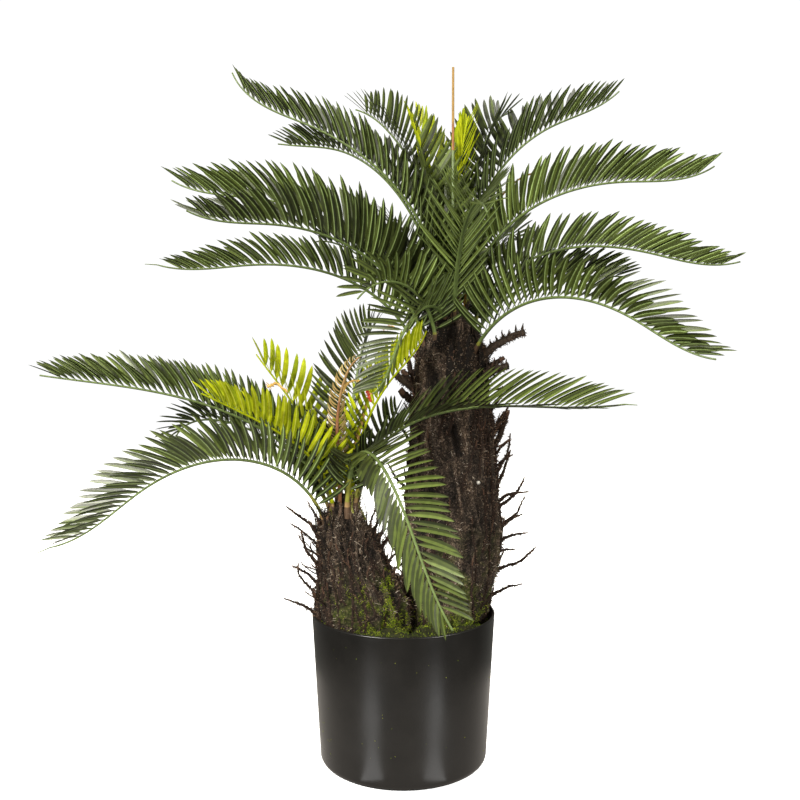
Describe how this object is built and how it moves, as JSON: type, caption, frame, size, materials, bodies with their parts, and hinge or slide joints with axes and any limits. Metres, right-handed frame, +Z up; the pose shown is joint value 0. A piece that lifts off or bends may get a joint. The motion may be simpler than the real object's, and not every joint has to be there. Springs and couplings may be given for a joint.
{
  "type": "artificial sago palm",
  "caption": "Artificial sago palm with a tall and a short fibrous trunk, arching dark green fronds and a few lime young ones, in a plain round black pot.",
  "frame": {"origin": "centre of the pot's flat underside, on the floor", "axes": "+Z up; +X to the plant's right as seen from its front, towards the tall trunk; -Y towards the front"},
  "size_m": [0.6649, 0.563, 0.6761],
  "materials": {
    "pot": "black semi-gloss moulded plastic",
    "filling": "loose dyed moss, green and brown",
    "trunk": "matted dark coir fibre with old leaf bases",
    "frond": "matt dyed polyester leaf, dark green",
    "young_frond": "matt dyed polyester leaf, lime green",
    "shoot": "bare moulded stem, orange brown"
  },
  "bodies": {
    "root": {"moss_filling": "filling", "pot": "pot", "short_frond_1": "frond", "short_frond_2": "frond", "short_frond_3": "frond", "short_frond_3_outer": "frond", "short_frond_4": "frond", "short_frond_5": "frond", "short_frond_5_outer": "frond", "short_frond_6": "frond", "short_frond_6_outer": "frond", "short_frond_7": "frond", "short_frond_8": "frond", "short_frond_9": "frond", "short_shoot_1": "shoot", "short_shoot_2": "shoot", "short_trunk": "trunk", "short_young_frond_1": "young_frond", "short_young_frond_2": "young_frond", "short_young_frond_3": "young_frond", "tall_frond_1": "frond", "tall_frond_10": "frond", "tall_frond_10_outer": "frond", "tall_frond_11": "frond", "tall_frond_11_outer": "frond", "tall_frond_12": "frond", "tall_frond_12_outer": "frond", "tall_frond_13": "frond", "tall_frond_13_outer": "frond", "tall_frond_14": "frond", "tall_frond_15": "frond", "tall_frond_16": "frond", "tall_frond_17": "frond", "tall_frond_17_outer": "frond", "tall_frond_18": "frond", "tall_frond_19": "frond", "tall_frond_2": "frond", "tall_frond_20": "frond", "tall_frond_2_outer": "frond", "tall_frond_3": "frond", "tall_frond_4": "frond", "tall_frond_4_outer": "frond", "tall_frond_5": "frond", "tall_frond_5_outer": "frond", "tall_frond_6": "frond", "tall_frond_7": "frond", "tall_frond_8": "frond", "tall_frond_9": "frond", "tall_shoot_1": "shoot", "tall_shoot_2": "shoot", "tall_stub_1": "trunk", "tall_stub_2": "trunk", "tall_stub_3": "trunk", "tall_trunk": "trunk", "tall_young_frond_1": "young_frond", "tall_young_frond_2": "young_frond"}
  },
  "joints": []
}
